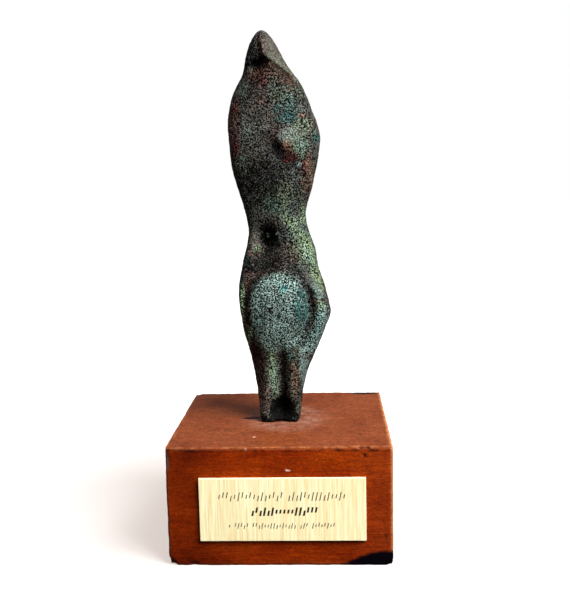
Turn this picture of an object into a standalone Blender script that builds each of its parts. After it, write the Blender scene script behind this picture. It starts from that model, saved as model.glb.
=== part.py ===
"""A small cast bronze figure in the nuragic manner, on a stained hardwood plinth with a brass plaque.

Metres, +Z up. The origin is the middle of the plinth's underside, and the front faces -Y.
The bronze is one casting. Its outline, its depth and its carving are given below in millimetres,
with heights measured up from the top of the plinth and x measured from the centre plane.
"""

import math

import bmesh
import bpy

MM = 0.001
GAP = 0.3

# The plinth is a square block with eased edges.
PLINTH_WIDTH = 70.0
PLINTH_HEIGHT = 38.0
PLINTH_EDGE = 1.2
PLINTH_EDGE_SEGMENTS = 2

# The plaque is a thin plate on the front face, a little right of the middle.
PLAQUE_WIDTH = 51.4
PLAQUE_HEIGHT = 20.1
PLAQUE_THICKNESS = 0.8
PLAQUE_EDGE = 0.15
PLAQUE_EDGE_SEGMENTS = 1
PLAQUE_SHIFT = 0.96
PLAQUE_MIDDLE = 18.5

# The outline of the bronze as (height, reach) pairs, reaching left and right from the centre plane.
TOP = 128.3
LEFT_REACH = (
    (0.0, 7.5), (10.0, 8.5), (20.0, 10.1), (32.0, 12.6), (44.0, 13.7), (54.0, 12.2), (64.0, 10.1),
    (72.0, 11.5), (86.0, 15.1), (99.0, 15.9), (107.0, 14.5), (115.5, 10.4), (119.0, 9.7),
    (124.0, 8.3), (127.0, 6.6), (TOP, 5.4),
)
RIGHT_REACH = (
    (0.0, 6.0), (8.0, 6.8), (16.0, 8.5), (24.0, 12.0), (32.0, 15.2), (36.5, 16.9), (40.5, 16.1),
    (47.0, 14.6), (53.0, 12.6), (57.0, 12.2), (64.0, 9.9), (69.0, 9.0), (78.0, 11.2),
    (88.0, 13.5), (94.5, 14.2), (102.0, 12.0), (110.0, 8.8), (117.4, 3.8), (124.0, 0.3),
    (127.0, -1.7), (TOP, -3.1),
)

# Its depth in front of and behind the line where each section is widest, and where that line runs.
FRONT_REACH = (
    (0.0, 7.6), (12.0, 8.2), (24.0, 8.8), (39.0, 8.8), (52.0, 7.8), (62.0, 6.8), (74.0, 7.2),
    (92.0, 8.2), (104.0, 7.8), (110.0, 7.4), (116.0, 6.8), (121.0, 4.6), (TOP, 1.3),
)
BACK_REACH = (
    (0.0, 8.0), (14.0, 8.2), (30.0, 9.4), (40.0, 9.8), (52.0, 8.0), (64.0, 6.0), (78.0, 6.6),
    (94.0, 7.4), (106.0, 6.6), (116.0, 5.4), (124.0, 4.0), (TOP, 1.3),
)
WAIST_LINE = ((0.0, 0.0), (40.0, 0.2), (64.0, 0.8), (92.0, -0.2), (116.0, -0.6), (TOP, -0.2))

# How full a section is, as (height, fullness): 2 is an ellipse, more is flatter and squarer.
LEFT_FULLNESS = (
    (0.0, 4.6), (7.0, 2.4), (22.0, 1.8), (40.0, 6.5), (64.0, 3.2), (90.0, 3.6), (112.0, 2.6), (TOP, 2.0),
)
RIGHT_FULLNESS = (
    (0.0, 4.2), (7.0, 3.0), (24.0, 2.4), (38.0, 2.8), (64.0, 2.1), (90.0, 2.9), (112.0, 2.6), (TOP, 2.0),
)
BACK_FULLNESS = 2.2

# The carving fades out towards the sides: the higher the power, the nearer to the edge it reaches.
SIDE_FADE_POWER = 6

# The head is a roof of two facets whose crest ends in a beak, and its hem slants down over the chest.
CREST_TOP_X = -5.0
CREST_CURVE = 0.5
BEAK_X = -2.4
BEAK_HEIGHT = 119.3
BEAK_REACH = 8.9
CREST_TOP_REACH = 2.2
LEFT_FACET_CURVE = 0.7
RIGHT_FACET_CURVE = 1.1
HOOD_SLOPE_LEFT = 0.3
HOOD_SLOPE_RIGHT = 0.75
HOOD_THICKNESS = 1.2
HOOD_UNDERCUT = 4.5
HOOD_BLEND = 0.4

# The neck is hollow under the left side of the beak.
NECK_X = -6.6
NECK_HEIGHT = 117.0
NECK_DEPTH = 2.2
NECK_HALF_WIDTH = 2.8
NECK_HALF_HEIGHT = 4.2

# The breast is steep on its lower left and runs out gently to its upper right.
BREAST_X = 2.6
BREAST_HEIGHT = 91.8
BREAST_RISE = 2.9
BREAST_TURN = math.radians(38.0)
BREAST_LENGTH = 4.2
BREAST_STEEP_SIDE = 2.2
BREAST_GENTLE_SIDE = 4.6

# A round hollow sinks into the waist.
NAVEL_X = -5.2
NAVEL_HEIGHT = 59.4
NAVEL_DEPTH = 4.8
NAVEL_LEFT_SIDE = 3.0
NAVEL_RIGHT_SIDE = 4.4
NAVEL_HALF_HEIGHT = 5.8

# The belly is a raised oval that settles into the legs, with a groove beside it, deepest on the right.
BELLY_X = -1.2
BELLY_HEIGHT = 39.3
BELLY_HALF_WIDTH = 10.4
BELLY_HALF_HEIGHT = 12.8
BELLY_RISE = 2.0
BELLY_CROWN = 5.0
BELLY_EDGE = 1.0
BELLY_SETTLING = 0.8
GROOVE_DEPTH = 2.6
GROOVE_WIDTH = 1.6
GROOVE_LEFT_DEPTH = 1.3
GROOVE_LEFT_WIDTH = 1.0
GROOVE_TURN = math.radians(-20.0)

# A furrow parts the legs and opens into a hollow that ends over the lip of the foot.
FURROW_X = 0.0
FURROW_TOP = 28.0
FURROW_FADE = 7.0
FURROW_DEPTH = 3.6
FURROW_LEFT_SIDE = 3.4
FURROW_RIGHT_SIDE = 2.0
HOLLOW_X = 0.4
HOLLOW_HEIGHT = 4.4
HOLLOW_DEPTH = 2.2
HOLLOW_HALF_WIDTH = 4.2
HOLLOW_HALF_HEIGHT = 3.6
FOOT_LIP = 4.5

# The back is plainer: a shallow spine, two rounded cheeks and a furrow below them.
SPINE_X = -0.6
SPINE_TOP = 108.0
SPINE_FADE = 12.0
SPINE_DEPTH = 0.8
SPINE_WIDTH = 2.6
CHEEK_HEIGHT = 38.0
CHEEK_RISE = 1.3
CHEEK_OFFSET = 5.6
CHEEK_HALF_WIDTH = 4.6
CHEEK_HALF_HEIGHT = 8.0
BACK_FURROW_TOP = 44.0
BACK_FURROW_FADE = 8.0
BACK_FURROW_DEPTH = 1.9
BACK_FURROW_WIDTH = 1.6

# The surface is laid over level rings, closer together over the head, with more columns in front.
FRONT_COLUMNS = 32
BACK_COLUMNS = 20
BODY_RING_STEP = 1.9
HEAD_RING_STEP = 0.8
HEAD_START = 110.0

BRONZE_COLOUR = (0.055, 0.065, 0.055)
BRONZE_ROUGHNESS = 0.7
WOOD_COLOUR = (0.30, 0.055, 0.012)
WOOD_ROUGHNESS = 0.45
BRASS_COLOUR = (0.90, 0.80, 0.42)
BRASS_ROUGHNESS = 0.35


def clamp(value, low, high):
    """Keep a value between two limits."""
    return max(low, min(high, value))


def smoothstep(start, end, value):
    """Rise smoothly from 0 at start to 1 at end."""
    t = clamp((value - start) / (end - start), 0.0, 1.0)
    return t * t * (3.0 - 2.0 * t)


def bell(distance, width):
    """A round bump of height 1 that has all but faded at twice its width."""
    return math.exp(-((distance / width) ** 2))


def blend_max(a, b, radius):
    """The larger of two values, rounded where they are within a radius of each other."""
    overlap = max(radius - abs(a - b), 0.0) / radius
    return max(a, b) + overlap * overlap * radius / 4.0


def point_slope(points, index):
    """The slope of a profile at one of its points, level at a peak or a trough."""
    slopes = []
    for start, end in ((index - 1, index), (index, index + 1)):
        if start >= 0 and end < len(points):
            rise = points[end][1] - points[start][1]
            slopes.append(rise / (points[end][0] - points[start][0]))
    if len(slopes) == 1:
        return slopes[0]
    before, after = slopes
    if before * after <= 0.0:
        return 0.0
    return 2.0 * before * after / (before + after)


def read_profile(points, height):
    """Read a smooth curve through (height, value) points, level past its ends."""
    if height <= points[0][0]:
        return points[0][1]
    if height >= points[-1][0]:
        return points[-1][1]
    index = max(i for i, point in enumerate(points) if point[0] <= height)
    (low, start), (high, end) = points[index], points[index + 1]
    span = high - low
    t = (height - low) / span
    out_slope = point_slope(points, index) * span
    in_slope = point_slope(points, index + 1) * span
    return (
        start * (1.0 + 2.0 * t) * (1.0 - t) ** 2
        + out_slope * t * (1.0 - t) ** 2
        + end * t * t * (3.0 - 2.0 * t)
        + in_slope * t * t * (t - 1.0)
    )


def outline(height):
    """The left and right edges of the bronze at a height, as x."""
    return -read_profile(LEFT_REACH, height), read_profile(RIGHT_REACH, height)


def across(x, height):
    """Where x lies across a section: -1 at the left edge, 0 in the middle and 1 at the right edge."""
    left, right = outline(height)
    return clamp((2.0 * x - left - right) / (right - left), -1.0, 1.0)


def rounded(position, fullness):
    """The height of a rounded section, 1 in the middle and 0 at its edges."""
    return max(1.0 - abs(position) ** fullness, 0.0) ** (1.0 / fullness)


def side_fade(position):
    """How much of the carving is left towards the sides, where the surface turns away."""
    return 1.0 - position**SIDE_FADE_POWER


def breast(x, height):
    """The breast, a short ridge that runs down to the right."""
    dx = x - BREAST_X
    dz = height - BREAST_HEIGHT
    uphill = dx * math.cos(BREAST_TURN) + dz * math.sin(BREAST_TURN)
    along = dx * math.sin(BREAST_TURN) - dz * math.cos(BREAST_TURN)
    side = BREAST_GENTLE_SIDE if uphill > 0.0 else BREAST_STEEP_SIDE
    return BREAST_RISE * bell(uphill, side) * bell(along, BREAST_LENGTH)


def neck(x, height):
    """The hollow under the left side of the beak."""
    dx = (x - NECK_X) / NECK_HALF_WIDTH
    dz = (height - NECK_HEIGHT) / NECK_HALF_HEIGHT
    return -NECK_DEPTH * bell(math.hypot(dx, dz), 1.0)


def navel(x, height):
    """The hollow in the waist."""
    dx = (x - NAVEL_X) / (NAVEL_RIGHT_SIDE if x > NAVEL_X else NAVEL_LEFT_SIDE)
    dz = (height - NAVEL_HEIGHT) / NAVEL_HALF_HEIGHT
    return -NAVEL_DEPTH * bell(math.hypot(dx, dz), 1.0)


def belly(x, height):
    """The raised oval of the belly with the grooves on its two sides."""
    dx = (x - BELLY_X) / BELLY_HALF_WIDTH
    dz = (height - BELLY_HEIGHT) / BELLY_HALF_HEIGHT
    distance = math.hypot(dx, dz)
    rise = BELLY_RISE * (1.0 - BELLY_SETTLING * smoothstep(0.0, -1.0, dz))
    dome = rise * max(1.0 - distance**BELLY_CROWN, 0.0) ** BELLY_EDGE
    facing_right = math.cos(math.atan2(dz, dx) - GROOVE_TURN)
    depth, width = GROOVE_DEPTH, GROOVE_WIDTH
    if facing_right < 0.0:
        depth, width = GROOVE_LEFT_DEPTH, GROOVE_LEFT_WIDTH
    beside = (distance - 1.0) * BELLY_HALF_WIDTH - width / 2.0
    return dome - depth * facing_right**2 * bell(beside, width)


def leg_furrow(x, height):
    """The furrow between the legs, wide on its left side and steep on its right."""
    side = FURROW_RIGHT_SIDE if x > FURROW_X else FURROW_LEFT_SIDE
    length = smoothstep(FURROW_TOP, FURROW_TOP - FURROW_FADE, height) * smoothstep(0.0, FOOT_LIP, height)
    furrow = FURROW_DEPTH * bell(x - FURROW_X, side) * length
    hollow = HOLLOW_DEPTH * bell(x - HOLLOW_X, HOLLOW_HALF_WIDTH)
    return -furrow - hollow * bell(height - HOLLOW_HEIGHT, HOLLOW_HALF_HEIGHT)


def body_depth(x, height):
    """The front of the body with its carving, without the head."""
    position = across(x, height)
    fullness = read_profile(RIGHT_FULLNESS if position > 0.0 else LEFT_FULLNESS, height)
    carving = sum(form(x, height) for form in (neck, breast, navel, belly, leg_furrow))
    return read_profile(FRONT_REACH, height) * rounded(position, fullness) + carving * side_fade(position)


def facet_depth(x, height):
    """The two facets of the head, on either side of its crest."""
    left, right = outline(height)
    up_the_crest = (height - BEAK_HEIGHT) / (TOP - BEAK_HEIGHT)
    crest_x = BEAK_X + (CREST_TOP_X - BEAK_X) * max(up_the_crest, 0.0) ** CREST_CURVE
    crest_reach = BEAK_REACH + (CREST_TOP_REACH - BEAK_REACH) * up_the_crest
    edge, curve = (right, RIGHT_FACET_CURVE) if x > crest_x else (left, LEFT_FACET_CURVE)
    position = clamp((x - crest_x) / (edge - crest_x), 0.0, 1.0)
    return crest_reach * (1.0 - position**curve)


def front_depth(x, height):
    """How far the front of the bronze stands forward of its widest line."""
    body = body_depth(x, height)
    hood = max(facet_depth(x, height), body + HOOD_THICKNESS * side_fade(across(x, height)))
    slope = HOOD_SLOPE_RIGHT if x > BEAK_X else HOOD_SLOPE_LEFT
    hem = BEAK_HEIGHT - slope * abs(x - BEAK_X)
    return blend_max(body, hood - HOOD_UNDERCUT * max(hem - height, 0.0), HOOD_BLEND)


def back_depth(x, height):
    """How far the back of the bronze stands behind its widest line."""
    position = across(x, height)
    body = read_profile(BACK_REACH, height) * rounded(position, BACK_FULLNESS)
    spine_reach = smoothstep(SPINE_TOP, SPINE_TOP - SPINE_FADE, height)
    carving = -SPINE_DEPTH * bell(x - SPINE_X, SPINE_WIDTH) * spine_reach
    for side in (-1.0, 1.0):
        dx = (x - side * CHEEK_OFFSET) / CHEEK_HALF_WIDTH
        dz = (height - CHEEK_HEIGHT) / CHEEK_HALF_HEIGHT
        carving += CHEEK_RISE * bell(math.hypot(dx, dz), 1.0)
    furrow_reach = smoothstep(BACK_FURROW_TOP, BACK_FURROW_TOP - BACK_FURROW_FADE, height)
    carving -= BACK_FURROW_DEPTH * bell(x, BACK_FURROW_WIDTH) * furrow_reach
    return body + carving * side_fade(position)


def ring_points(height):
    """The points of one level section, front from left to right and then back from right to left."""
    left, right = outline(height)
    middle = (left + right) / 2.0
    half = (right - left) / 2.0
    widest = read_profile(WAIST_LINE, height)
    points = []
    for column in range(FRONT_COLUMNS):
        x = middle - half * math.cos(math.pi * column / FRONT_COLUMNS)
        depth = front_depth(x, height) if column else 0.0
        points.append((x, widest - depth))
    for column in range(BACK_COLUMNS):
        x = middle + half * math.cos(math.pi * column / BACK_COLUMNS)
        depth = back_depth(x, height) if column else 0.0
        points.append((x, widest + depth))
    return points


def ring_heights():
    """The heights of the rings, from just above the plinth to the tip."""
    heights = [GAP]
    while heights[-1] < TOP:
        step = HEAD_RING_STEP if heights[-1] > HEAD_START else BODY_RING_STEP
        heights.append(heights[-1] + step)
    if TOP - heights[-2] < HEAD_RING_STEP / 2.0:
        heights.pop()
    heights[-1] = TOP
    return heights


def make_material(name, colour, roughness, is_metal):
    """A plain material in the piece's own colour."""
    material = bpy.data.materials.new(name)
    material.use_nodes = True
    shader = material.node_tree.nodes["Principled BSDF"]
    shader.inputs["Base Color"].default_value = (*colour, 1.0)
    shader.inputs["Roughness"].default_value = roughness
    shader.inputs["Metallic"].default_value = 1.0 if is_metal else 0.0
    material.diffuse_color = (*colour, 1.0)
    return material


def add_object(name, mesh_builder, material):
    """Turn a bmesh into a named object with its material."""
    mesh = bpy.data.meshes.new(name)
    mesh_builder.to_mesh(mesh)
    mesh_builder.free()
    mesh.materials.append(material)
    item = bpy.data.objects.new(name, mesh)
    bpy.context.scene.collection.objects.link(item)
    return item


def build_figure():
    """Draw the bronze up from its foot, ring by ring, and close it at the foot and the tip."""
    shape = bmesh.new()
    rings = []
    for height in ring_heights():
        level = (PLINTH_HEIGHT + height) * MM
        rings.append([shape.verts.new((x * MM, y * MM, level)) for x, y in ring_points(height)])
    for below, above in zip(rings, rings[1:]):
        for index, corner in enumerate(below):
            shape.faces.new((below[index - 1], corner, above[index], above[index - 1]))
    for end_ring in (rings[0], rings[-1]):
        shape.faces.new(end_ring)
    bmesh.ops.recalc_face_normals(shape, faces=shape.faces)
    bmesh.ops.triangulate(shape, faces=shape.faces)
    bronze = make_material("cast_bronze", BRONZE_COLOUR, BRONZE_ROUGHNESS, is_metal=True)
    figure = add_object("figure", shape, bronze)
    figure.data.shade_smooth()
    return figure


def build_block(name, size, centre, edge, edge_segments, material):
    """A block with eased edges."""
    shape = bmesh.new()
    bmesh.ops.create_cube(shape, size=1.0)
    for vertex in shape.verts:
        for axis in range(3):
            vertex.co[axis] = (vertex.co[axis] * size[axis] + centre[axis]) * MM
    bmesh.ops.bevel(
        shape,
        geom=shape.edges[:],
        offset=edge * MM,
        segments=edge_segments,
        profile=0.5,
        affect="EDGES",
    )
    return add_object(name, shape, material)


def build_plinth():
    """The stained hardwood block."""
    size = (PLINTH_WIDTH, PLINTH_WIDTH, PLINTH_HEIGHT)
    centre = (0.0, 0.0, PLINTH_HEIGHT / 2.0)
    wood = make_material("stained_hardwood", WOOD_COLOUR, WOOD_ROUGHNESS, is_metal=False)
    return build_block("plinth", size, centre, PLINTH_EDGE, PLINTH_EDGE_SEGMENTS, wood)


def build_plaque():
    """The brass plate on the front face of the plinth."""
    size = (PLAQUE_WIDTH, PLAQUE_THICKNESS, PLAQUE_HEIGHT)
    centre = (PLAQUE_SHIFT, -PLINTH_WIDTH / 2.0 - GAP - PLAQUE_THICKNESS / 2.0, PLAQUE_MIDDLE)
    brass = make_material("brushed_brass", BRASS_COLOUR, BRASS_ROUGHNESS, is_metal=True)
    return build_block("plaque", size, centre, PLAQUE_EDGE, PLAQUE_EDGE_SEGMENTS, brass)


def main():
    """Clear the scene and build the three pieces."""
    for item in list(bpy.data.objects):
        bpy.data.objects.remove(item, do_unlink=True)
    build_plinth()
    build_plaque()
    build_figure()


if __name__ == "__main__":
    main()
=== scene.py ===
"""Looks of a small cast bronze figure that stands on a stained hardwood plinth with a brass plaque.

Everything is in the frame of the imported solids: +Z is up, the front faces -Y, and the origin is the middle
of the plinth's underside. Blender's own lengths are metres. The classes hold their sizes in millimetres, all
but the studio's. A place on the bronze is x from the centre plane and the height above the plinth's top.
"""

import logging
import math
import random
from dataclasses import dataclass, field
from enum import Enum

import bpy
import numpy as np
from mathutils import Matrix, Vector, noise


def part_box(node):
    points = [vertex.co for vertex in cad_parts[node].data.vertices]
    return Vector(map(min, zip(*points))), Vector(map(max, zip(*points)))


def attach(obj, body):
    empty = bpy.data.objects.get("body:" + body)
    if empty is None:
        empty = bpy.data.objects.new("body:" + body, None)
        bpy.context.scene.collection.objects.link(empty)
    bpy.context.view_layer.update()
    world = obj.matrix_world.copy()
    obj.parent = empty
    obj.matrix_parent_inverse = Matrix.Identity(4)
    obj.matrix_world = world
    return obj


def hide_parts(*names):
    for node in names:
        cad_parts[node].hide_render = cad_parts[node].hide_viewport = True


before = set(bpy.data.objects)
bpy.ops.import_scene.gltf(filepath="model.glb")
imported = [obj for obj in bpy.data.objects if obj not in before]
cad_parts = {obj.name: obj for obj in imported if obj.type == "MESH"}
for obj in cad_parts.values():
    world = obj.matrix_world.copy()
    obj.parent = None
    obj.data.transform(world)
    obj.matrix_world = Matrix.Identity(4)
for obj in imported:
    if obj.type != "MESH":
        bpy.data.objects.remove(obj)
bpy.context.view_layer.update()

MM = 0.001
LOG = logging.getLogger("nuragic_bronze_figure")
Piece = bpy.types.Object
Tree = bpy.types.NodeTree
Node = bpy.types.Node
Socket = bpy.types.NodeSocket
Colour = tuple[float, float, float, float]
Triple = tuple[float, float, float]
Span = tuple[float, float]

# the numbers of a Mix node's inputs and output for colours, whose names others have too
SHARE, UNDER, OVER, MIXED = 0, 6, 7, 2
# how many radians a wave texture turns through in one unit of length
WAVE_RADIANS = 20.0
# where a spot's soft rim is half strong, as a share of the spot's size
SPOT_RIM = 0.9


def linear(shade: str) -> Colour:
    """Turn an sRGB hex colour into linear light.

    Args:
        shade: a colour such as "#a55628".

    Returns:
        The linear red, green and blue, with an alpha of 1.
    """
    parts = [int(shade[i : i + 2], 16) / 255.0 for i in (1, 3, 5)]
    return (*(c / 12.92 if c <= 0.04045 else ((c + 0.055) / 1.055) ** 2.4 for c in parts), 1.0)


def set_inputs(node: Node, inputs: dict | tuple) -> None:
    """Give a node's inputs their values and links.

    Args:
        node: the node.
        inputs: for each input, by name, by number or in its order, a value or the output to link to it.
    """
    for key, value in inputs.items() if isinstance(inputs, dict) else enumerate(inputs):
        if isinstance(value, Socket):
            node.id_data.links.new(value, node.inputs[key])
        else:
            node.inputs[key].default_value = value


def add_node(
    tree: Tree, kind: str, inputs: dict | tuple = (), out: int | str = 0, **settings: object
) -> Socket:
    """Add one shader node with its settings and links.

    Args:
        tree: the node tree that gets the node.
        kind: the node's type, without its "ShaderNode" prefix.
        inputs: for each input, by name, by number or in its order, a value or the output to link to it.
        out: the output that is wanted, by name or number.
        settings: the node's own options.

    Returns:
        The wanted output.
    """
    node = tree.nodes.new("ShaderNode" + kind)
    for option, value in settings.items():
        setattr(node, option, value)
    set_inputs(node, inputs)
    return node.outputs[out]


def deselect_all() -> None:
    """Leave edit mode and select nothing."""
    if bpy.context.object and bpy.context.object.mode != "OBJECT":
        bpy.ops.object.mode_set(mode="OBJECT")
    bpy.ops.object.select_all(action="DESELECT")


def make_active(piece: Piece) -> None:
    """Select one piece and make it the active one.

    Args:
        piece: the piece.
    """
    deselect_all()
    piece.select_set(True)
    bpy.context.view_layer.objects.active = piece


def open_mesh(piece: Piece, selection: str = "SELECT") -> None:
    """Put a piece in edit mode.

    Args:
        piece: the piece.
        selection: "SELECT" to start with all of it selected, or "DESELECT" for none.
    """
    make_active(piece)
    bpy.ops.object.mode_set(mode="EDIT")
    bpy.ops.mesh.select_all(action=selection)


def close_mesh() -> None:
    """Go back to object mode."""
    bpy.ops.object.mode_set(mode="OBJECT")


def add_block(name: str, low: Vector, high: Vector) -> Piece:
    """Add a block between two corners, with its object at the origin.

    Args:
        name: the piece's name.
        low: its lowest corner.
        high: its highest corner.

    Returns:
        The block, as the active object.
    """
    deselect_all()
    bpy.ops.mesh.primitive_cube_add(size=1.0, location=(low + high) / 2.0, scale=high - low)
    block = bpy.context.object
    block.name = block.data.name = name
    bpy.ops.object.transform_apply(location=True, rotation=True, scale=True)
    return block


def apply_modifier(piece: Piece, kind: str, **settings: object) -> None:
    """Add one modifier to a piece and apply it.

    Args:
        piece: the piece.
        kind: the modifier's type.
        settings: its options.
    """
    make_active(piece)
    bpy.ops.object.modifier_add(type=kind)
    modifier = piece.modifiers[-1]
    for option, value in settings.items():
        setattr(modifier, option, value)
    bpy.ops.object.modifier_apply(modifier=modifier.name)


def read_points(piece: Piece) -> np.ndarray:
    """Read the vertices of a piece.

    Args:
        piece: the piece.

    Returns:
        Their places, in metres.
    """
    points = np.empty(len(piece.data.vertices) * 3)
    piece.data.vertices.foreach_get("co", points)
    return points.reshape(-1, 3)


def read_normals(piece: Piece) -> np.ndarray:
    """Read the vertex normals of a piece.

    Args:
        piece: the piece.

    Returns:
        The normals, in the order of its vertices.
    """
    normals = np.empty(len(piece.data.vertices) * 3)
    piece.data.vertex_normals.foreach_get("vector", normals)
    return normals.reshape(-1, 3)


def write_points(piece: Piece, points: np.ndarray) -> None:
    """Move the piece's vertices to new places, in metres."""
    piece.data.vertices.foreach_set("co", points.ravel())
    piece.data.update()


def write_mask(piece: Piece, name: str, values: np.ndarray) -> None:
    """Store one number for each vertex, for a material to read."""
    attribute = piece.data.attributes.new(name, "FLOAT", "POINT")
    attribute.data.foreach_set("value", values.astype(np.float32))


@dataclass(frozen=True)
class Ramp:
    """A smooth rise from nothing at one value to its full height at another."""

    start: float
    end: float
    height: float = 1.0

    def read(self, values: np.ndarray) -> np.ndarray:
        """Read the ramp at every value."""
        share = np.clip((values - self.start) / (self.end - self.start), 0.0, 1.0)
        return self.height * (share * share * (3.0 - 2.0 * share))


@dataclass(frozen=True)
class Lumps:
    """Fractal noise in space: the size of its largest lumps, its number of finer layers, and its offset."""

    size: float
    layers: int
    offset: float
    fading: float = 0.9
    refinement: float = 2.0
    offset_line: Triple = (1.0, 0.37, -0.61)

    def read(self, places: np.ndarray) -> np.ndarray:
        """Read the noise.

        Args:
            places: an array of places.

        Returns:
            One value for each place, mostly between -1 and 1.
        """
        shift = Vector([self.offset * part for part in self.offset_line])
        settings = (self.fading, self.refinement, self.layers)
        return np.array([noise.fractal(Vector(place) / self.size + shift, *settings) for place in places])


@dataclass(frozen=True)
class Grains:
    """Rounded grains packed in space: their size and their offset."""

    size: float
    offset: float
    slope: float = 1.6
    offset_line: Triple = (1.0, -1.0, 0.5)

    def read(self, places: np.ndarray) -> np.ndarray:
        """Read the grains.

        Args:
            places: an array of places.

        Returns:
            One value for each place: 1 in the middle of a grain, and 0 or less where grains meet.
        """
        shift = Vector([self.offset * part for part in self.offset_line])
        distances = [noise.voronoi(Vector(place) / self.size + shift)[0][0] for place in places]
        return 1.0 - self.slope * np.array(distances)


@dataclass(frozen=True)
class Cloud:
    """A material's cloudy pattern: its size, finer layers, their strength, and its squeeze on each axis."""

    size: float
    detail: float
    roughness: float
    squeeze: Triple = (1.0, 1.0, 1.0)


@dataclass(frozen=True)
class Finish:
    """A material that starts as a plain Principled shader.

    Each finish adds its own nodes to what start() gives it.
    """

    name: str

    def start(self) -> tuple[bpy.types.Material, Tree, Node, Socket]:
        """Make the material.

        Returns:
            The material, its tree, its shader, and the place on the piece in millimetres.
        """
        material = bpy.data.materials.new(self.name)
        material.use_nodes = True
        tree = material.node_tree
        place = add_node(tree, "TexCoord", out="Object")
        to_mm = add_node(tree, "VectorMath", {0: place, "Scale": 1.0 / MM}, operation="SCALE")
        return material, tree, tree.nodes["Principled BSDF"], to_mm

    def add_cloud(self, tree: Tree, place: Socket, cloud: Cloud, out: str = "Fac") -> Socket:
        """Add a cloudy pattern, squeezed or stretched as it lies on the piece.

        Args:
            tree: the material's tree.
            place: the place on the piece in millimetres.
            cloud: the pattern.
            out: "Fac" for one strength, or "Color" for three that differ.

        Returns:
            The pattern, mostly between 0.3 and 0.7.
        """
        squeezed = add_node(tree, "Mapping", {"Vector": place, "Scale": cloud.squeeze})
        layers = {"Detail": cloud.detail, "Roughness": cloud.roughness}
        return add_node(tree, "TexNoise", {"Vector": squeezed, "Scale": 1.0 / cloud.size, **layers}, out)

    def add_specks(self, tree: Tree, place: Socket, pitch: float, radius: float) -> Socket:
        """Add scattered specks, such as the pores of a casting, loose crystals, or dust.

        Args:
            tree: the material's tree.
            place: the place on the piece in millimetres.
            pitch: how far apart the specks lie.
            radius: how large a speck is, as a share of the pitch.

        Returns:
            How strong the speck is, which is 0 between the specks.
        """
        distance = add_node(tree, "TexVoronoi", {"Vector": place, "Scale": 1.0 / pitch}, "Distance")
        spot = add_node(tree, "MapRange", (distance, radius, 0.5 * radius))
        chance = add_node(tree, "SeparateColor", (distance.node.outputs["Color"],))
        return add_node(tree, "Math", (spot, chance), operation="MULTIPLY")


class Mark(Enum):
    """What shows on a piece where the mesh has its mask. Its value is its colour from a step away."""

    @property
    def mask(self) -> str:
        """The name of its mask."""
        return self.name.lower()


class Patina(Mark):
    """The crusts and wear on the bronze, and its painted shade, in the order they lie on each other."""

    RUBBED = "#42403a"
    RED_BROWN = "#3d1a17"
    COPPER = "#5b3e30"
    VERDIGRIS = "#4f5b43"
    SALT = "#546560"
    TEAL = "#1e3633"
    AZURE = "#365c5a"
    # soot, and painted shade where the patches lay it in hollows, grooves and on shaded sides
    SOOT_AND_SHADE = "#191917"
    # black painted where shade falls: in the navel pit, under the beak, beside the breast, above the belly
    # and in the foot's hollow
    PAINTED_SHADE = "#050504"


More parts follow.
